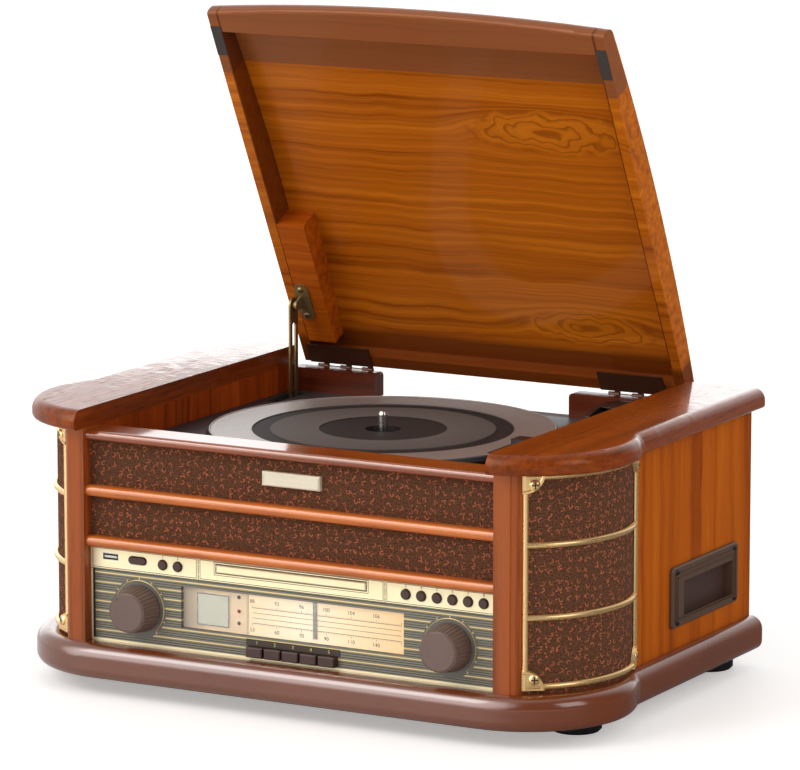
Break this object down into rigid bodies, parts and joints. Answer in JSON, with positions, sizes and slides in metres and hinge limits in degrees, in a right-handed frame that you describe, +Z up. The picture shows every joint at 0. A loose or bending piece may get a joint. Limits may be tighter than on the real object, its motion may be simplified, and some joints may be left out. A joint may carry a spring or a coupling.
{
  "type": "music centre",
  "caption": "Wooden table-top music centre with a record deck under a hinged lid, tuner dial, knobs, keys, disc drawer, tape slot and round corner grilles.",
  "frame": {"origin": "floor level under the middle of the bounding box, with the lid open", "axes": "+X to the right seen from the front, +Y to the back, +Z up"},
  "size_m": [0.5068, 0.3604, 0.5192],
  "materials": {
    "dark_wood": "glossy dark stained mouldings",
    "veneer": "satin orange-brown veneer",
    "deck_paint": "satin grey",
    "cloth": "dark brown speckled speaker cloth",
    "gold": "satin gold",
    "panel": "striped grey and gold",
    "knob_plastic": "grey-brown",
    "black_matte": "matte black",
    "key_plastic": "glossy dark brown",
    "dial": "cream printed dial",
    "lens": "clear window",
    "pointer": "pale",
    "platter_metal": "satin platter",
    "chrome": "polished",
    "rubber": "black rubber",
    "back_board": "painted board"
  },
  "bodies": {
    "cabinet": {"base_plinth": "dark_wood", "feet": "rubber", "side_panel_left": "veneer", "side_panel_right": "veneer", "top_cap_left": "dark_wood", "top_cap_right": "dark_wood", "well_wall_left": "veneer", "well_wall_right": "veneer", "front_post_left": "dark_wood", "front_post_right": "dark_wood", "front_ledge": "dark_wood", "front_rails": "dark_wood", "front_cloth": "cloth", "badge_plate": "gold", "grille_frame_left": "gold", "grille_frame_right": "gold", "grille_cloth_left": "cloth", "grille_cloth_right": "cloth", "control_panel": "panel", "panel_trim": "gold", "dial_plate": "dial", "dial_lens": "lens", "usb_port": "chrome", "rear_panel": "back_board", "deck": "deck_paint", "tonearm_base": "black_matte", "hinge_blocks": "dark_wood", "hinge_leaves_body": "chrome", "cassette_bezel": "black_matte"},
    "lid": {"lid": "dark_wood", "lid_pads": "rubber", "lid_block": "veneer", "lid_fittings": "chrome"},
    "stay": {"stay_arm": "chrome"},
    "platter": {"platter": "platter_metal", "spindle": "chrome"},
    "motor_pulley": {"motor_pulley": "chrome"},
    "arm_gimbal": {"arm_gimbal": "black_matte"},
    "tonearm": {"tonearm": "black_matte"},
    "lift_lever": {"lift_lever": "black_matte"},
    "speed_lever": {"speed_lever": "black_matte"},
    "drawer": {"cd_drawer": "gold"},
    "flap": {"cassette_flap": "black_matte"},
    "volume_knob": {"volume_knob": "knob_plastic"},
    "tuning_knob": {"tuning_knob": "knob_plastic"},
    "dial_pointer": {"dial_pointer": "pointer"},
    "power_switch": {"power_switch": "key_plastic"},
    "key_1": {"key_1": "key_plastic"},
    "key_2": {"key_2": "key_plastic"},
    "key_3": {"key_3": "key_plastic"},
    "key_4": {"key_4": "key_plastic"},
    "key_5": {"key_5": "key_plastic"},
    "button_1": {"button_1": "key_plastic"},
    "button_2": {"button_2": "key_plastic"},
    "button_3": {"button_3": "key_plastic"},
    "button_4": {"button_4": "key_plastic"},
    "button_5": {"button_5": "key_plastic"},
    "button_6": {"button_6": "key_plastic"},
    "button_7": {"button_7": "key_plastic"},
    "button_8": {"button_8": "key_plastic"}
  },
  "joints": [
    {"name": "lid_hinge", "type": "hinge", "parent": "cabinet", "child": "lid", "pos_m": [0, 0.1668, 0.20423], "axis": [1, 0, 0], "range_deg": [0, 62.85]},
    {"name": "stay_pivot", "type": "hinge", "parent": "lid", "child": "stay", "pos_m": [-0.16425, 0.13201, 0.25893], "axis": [1, 0, 0], "range_deg": [-62.85, 0]},
    {"name": "platter_spin", "type": "hinge", "parent": "cabinet", "child": "platter", "pos_m": [0, -0.0144, 0.1978], "axis": [0, 0, 1], "continuous": true},
    {"name": "motor_spin", "type": "hinge", "parent": "cabinet", "child": "motor_pulley", "pos_m": [-0.04829, 0.0339, 0.1855], "axis": [0, 0, 1], "continuous": true},
    {"name": "arm_swing", "type": "hinge", "parent": "cabinet", "child": "arm_gimbal", "pos_m": [0.145, 0.1006, 0.204], "axis": [0, 0, -1], "range_deg": [0, 34]},
    {"name": "arm_tilt", "type": "hinge", "parent": "arm_gimbal", "child": "tonearm", "pos_m": [0.145, 0.1006, 0.204], "axis": [-1, 0, 0], "range_deg": [0, 3.5]},
    {"name": "lift_turn", "type": "hinge", "parent": "cabinet", "child": "lift_lever", "pos_m": [0.163, 0.0476, 0.1855], "axis": [0, 0, 1], "range_deg": [-30, 30]},
    {"name": "speed_turn", "type": "hinge", "parent": "cabinet", "child": "speed_lever", "pos_m": [0.158, -0.1214, 0.1855], "axis": [0, 0, 1], "range_deg": [-25, 25]},
    {"name": "drawer_slide", "type": "slide", "parent": "cabinet", "child": "drawer", "axis": [0, -1, 0], "range_m": [0, 0.125]},
    {"name": "flap_hinge", "type": "hinge", "parent": "cabinet", "child": "flap", "pos_m": [0.2266, 0.0792, 0.09015], "axis": [0, 1, 0], "range_deg": [0, 80], "stiffness_Nm_per_rad": 0.02},
    {"name": "volume_turn", "type": "hinge", "parent": "cabinet", "child": "volume_knob", "pos_m": [-0.134, -0.1571, 0.0683], "axis": [0, -1, 0], "range_deg": [-270, 0]},
    {"name": "tuning_turn", "type": "hinge", "parent": "cabinet", "child": "tuning_knob", "pos_m": [0.1357, -0.1571, 0.0683], "axis": [0, -1, 0], "range_deg": [-600, 450]},
    {"name": "pointer_slide", "type": "slide", "parent": "cabinet", "child": "dial_pointer", "axis": [1, 0, 0], "range_m": [-0.0534, 0.0712]},
    {"name": "power_push", "type": "slide", "parent": "cabinet", "child": "power_switch", "axis": [0, 1, 0], "range_m": [0, 0.0015], "stiffness_N_per_m": 300},
    {"name": "key_1_push", "type": "slide", "parent": "cabinet", "child": "key_1", "axis": [0, 1, 0], "range_m": [0, 0.003], "stiffness_N_per_m": 300},
    {"name": "key_2_push", "type": "slide", "parent": "cabinet", "child": "key_2", "axis": [0, 1, 0], "range_m": [0, 0.003], "stiffness_N_per_m": 300},
    {"name": "key_3_push", "type": "slide", "parent": "cabinet", "child": "key_3", "axis": [0, 1, 0], "range_m": [0, 0.003], "stiffness_N_per_m": 300},
    {"name": "key_4_push", "type": "slide", "parent": "cabinet", "child": "key_4", "axis": [0, 1, 0], "range_m": [0, 0.003], "stiffness_N_per_m": 300},
    {"name": "key_5_push", "type": "slide", "parent": "cabinet", "child": "key_5", "axis": [0, 1, 0], "range_m": [0, 0.003], "stiffness_N_per_m": 300},
    {"name": "button_1_push", "type": "slide", "parent": "cabinet", "child": "button_1", "axis": [0, 1, 0], "range_m": [0, 0.001], "stiffness_N_per_m": 300},
    {"name": "button_2_push", "type": "slide", "parent": "cabinet", "child": "button_2", "axis": [0, 1, 0], "range_m": [0, 0.001], "stiffness_N_per_m": 300},
    {"name": "button_3_push", "type": "slide", "parent": "cabinet", "child": "button_3", "axis": [0, 1, 0], "range_m": [0, 0.001], "stiffness_N_per_m": 300},
    {"name": "button_4_push", "type": "slide", "parent": "cabinet", "child": "button_4", "axis": [0, 1, 0], "range_m": [0, 0.001], "stiffness_N_per_m": 300},
    {"name": "button_5_push", "type": "slide", "parent": "cabinet", "child": "button_5", "axis": [0, 1, 0], "range_m": [0, 0.001], "stiffness_N_per_m": 300},
    {"name": "button_6_push", "type": "slide", "parent": "cabinet", "child": "button_6", "axis": [0, 1, 0], "range_m": [0, 0.001], "stiffness_N_per_m": 300},
    {"name": "button_7_push", "type": "slide", "parent": "cabinet", "child": "button_7", "axis": [0, 1, 0], "range_m": [0, 0.001], "stiffness_N_per_m": 300},
    {"name": "button_8_push", "type": "slide", "parent": "cabinet", "child": "button_8", "axis": [0, 1, 0], "range_m": [0, 0.001], "stiffness_N_per_m": 300}
  ],
  "couplings": [
    {"joint": "stay_pivot", "follows": "lid_hinge", "ratio": -1},
    {"joint": "motor_spin", "follows": "platter_spin", "ratio": -10.333},
    {"joint": "pointer_slide", "follows": "tuning_turn", "m_per_rad": -0.0068}
  ]
}
